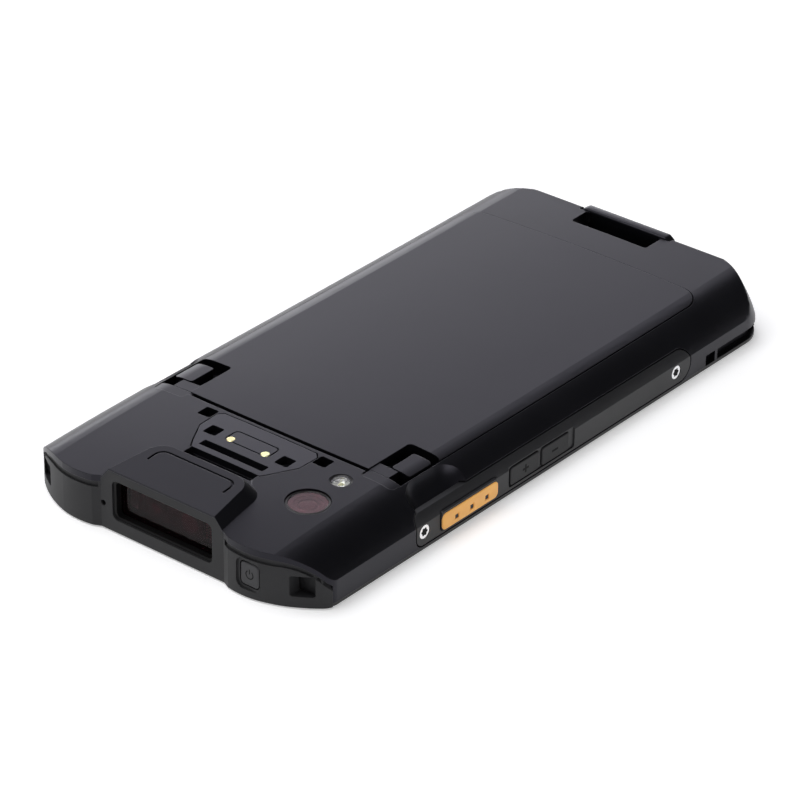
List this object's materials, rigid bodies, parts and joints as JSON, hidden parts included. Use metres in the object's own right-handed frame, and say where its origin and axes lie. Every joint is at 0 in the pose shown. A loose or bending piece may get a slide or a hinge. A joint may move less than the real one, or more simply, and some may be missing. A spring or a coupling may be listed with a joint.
{
  "type": "portable barcode data terminal",
  "caption": "Handheld touch-screen data terminal with a scan window at one end, removable battery pack with side latches, side keys, accessory contacts and a hand-strap bar.",
  "frame": {"origin": "centre of the outline, on the plane of the screen-side rim that the terminal rests on", "axes": "+Z out of the back, +Y from the scanner end towards the hand-strap bar, +X towards the side with the volume keys"},
  "size_m": [0.079, 0.158, 0.0159],
  "materials": {
    "housing_plastic": "fine-textured black polycarbonate with a satin sheen",
    "pack_plastic": "fine-textured black polycarbonate with a satin sheen",
    "bumper_rubber": "dark grey soft-touch elastomer",
    "frame_plastic": "black moulded rim",
    "lens_glass": "clear cover glass with a black printed border",
    "display_black": "dark, switched-off display",
    "plate_metal": "die-cast magnesium, bare",
    "board_green": "green solder mask",
    "shield_steel": "tinned steel cans",
    "scan_glass": "dark red-tinted scan window",
    "gasket_rubber": "black foam rubber",
    "engine_black": "black imager block with coated lenses",
    "camera_glass": "coated camera glass with a brown-pink tint",
    "flash_clear": "clear flash lens over a yellow emitter",
    "key_plastic": "black moulded keys with a fine texture",
    "trigger_orange": "amber scan trigger",
    "gold": "gold-plated contacts",
    "screw_steel": "bright stainless torx screws",
    "cell_wrap": "shrink-wrapped lithium cell",
    "speaker_black": "black plastic capsule"
  },
  "bodies": {
    "terminal": {"rear_housing": "housing_plastic", "front_frame": "frame_plastic", "touch_lens": "lens_glass", "display_panel": "display_black", "midframe": "plate_metal", "main_board": "board_green", "board_shields": "shield_steel", "top_bumper": "bumper_rubber", "scan_window": "scan_glass", "window_gasket": "gasket_rubber", "scan_engine": "engine_black", "camera_window": "camera_glass", "camera_module": "engine_black", "flash_lens": "flash_clear", "accessory_plate": "housing_plastic", "contact_pins": "gold", "bay_terminals": "gold", "strap_bar": "housing_plastic", "usb_port": "shield_steel", "speaker": "speaker_black", "receiver": "speaker_black", "front_camera": "engine_black", "vibration_motor": "shield_steel", "housing_screws": "screw_steel", "right_key_switches": "shield_steel", "left_key_switches": "shield_steel", "right_key_strip": "key_plastic", "left_key_strip": "key_plastic", "key_strip_screws": "screw_steel"},
    "battery_pack": {"battery_cover": "pack_plastic", "battery_cell": "cell_wrap", "battery_sheet": "cell_wrap", "battery_contacts": "gold", "latch_springs": "shield_steel"},
    "left_latch": {"latch_left": "pack_plastic"},
    "right_latch": {"latch_right": "pack_plastic"},
    "power": {"power_button": "key_plastic"},
    "right_trigger": {"scan_trigger_right": "trigger_orange"},
    "volume_up": {"volume_up_key": "key_plastic"},
    "volume_down": {"volume_down_key": "key_plastic"},
    "left_trigger": {"scan_trigger_left": "trigger_orange"},
    "talk": {"talk_button": "key_plastic"}
  },
  "joints": [
    {"name": "battery_tilt", "type": "hinge", "parent": "terminal", "child": "battery_pack", "pos_m": [0, 0.0614, 0.01335], "axis": [-1, 0, 0], "range_deg": [0, 18]},
    {"name": "latch_left_slide", "type": "slide", "parent": "battery_pack", "child": "left_latch", "axis": [1, 0, 0], "range_m": [0, 0.0018], "stiffness_N_per_m": 900},
    {"name": "latch_right_slide", "type": "slide", "parent": "battery_pack", "child": "right_latch", "axis": [-1, 0, 0], "range_m": [0, 0.0018], "stiffness_N_per_m": 900},
    {"name": "power_button_press", "type": "slide", "parent": "terminal", "child": "power", "axis": [0, 1, 0], "range_m": [0, 0.0004], "stiffness_N_per_m": 1500},
    {"name": "right_trigger_press", "type": "slide", "parent": "terminal", "child": "right_trigger", "axis": [-1, 0, 0], "range_m": [0, 0.0004], "stiffness_N_per_m": 1500},
    {"name": "volume_up_press", "type": "slide", "parent": "terminal", "child": "volume_up", "axis": [-1, 0, 0], "range_m": [0, 0.0004], "stiffness_N_per_m": 1500},
    {"name": "volume_down_press", "type": "slide", "parent": "terminal", "child": "volume_down", "axis": [-1, 0, 0], "range_m": [0, 0.0004], "stiffness_N_per_m": 1500},
    {"name": "left_trigger_press", "type": "slide", "parent": "terminal", "child": "left_trigger", "axis": [1, 0, 0], "range_m": [0, 0.0004], "stiffness_N_per_m": 1500},
    {"name": "talk_button_press", "type": "slide", "parent": "terminal", "child": "talk", "axis": [1, 0, 0], "range_m": [0, 0.0004], "stiffness_N_per_m": 1500}
  ]
}
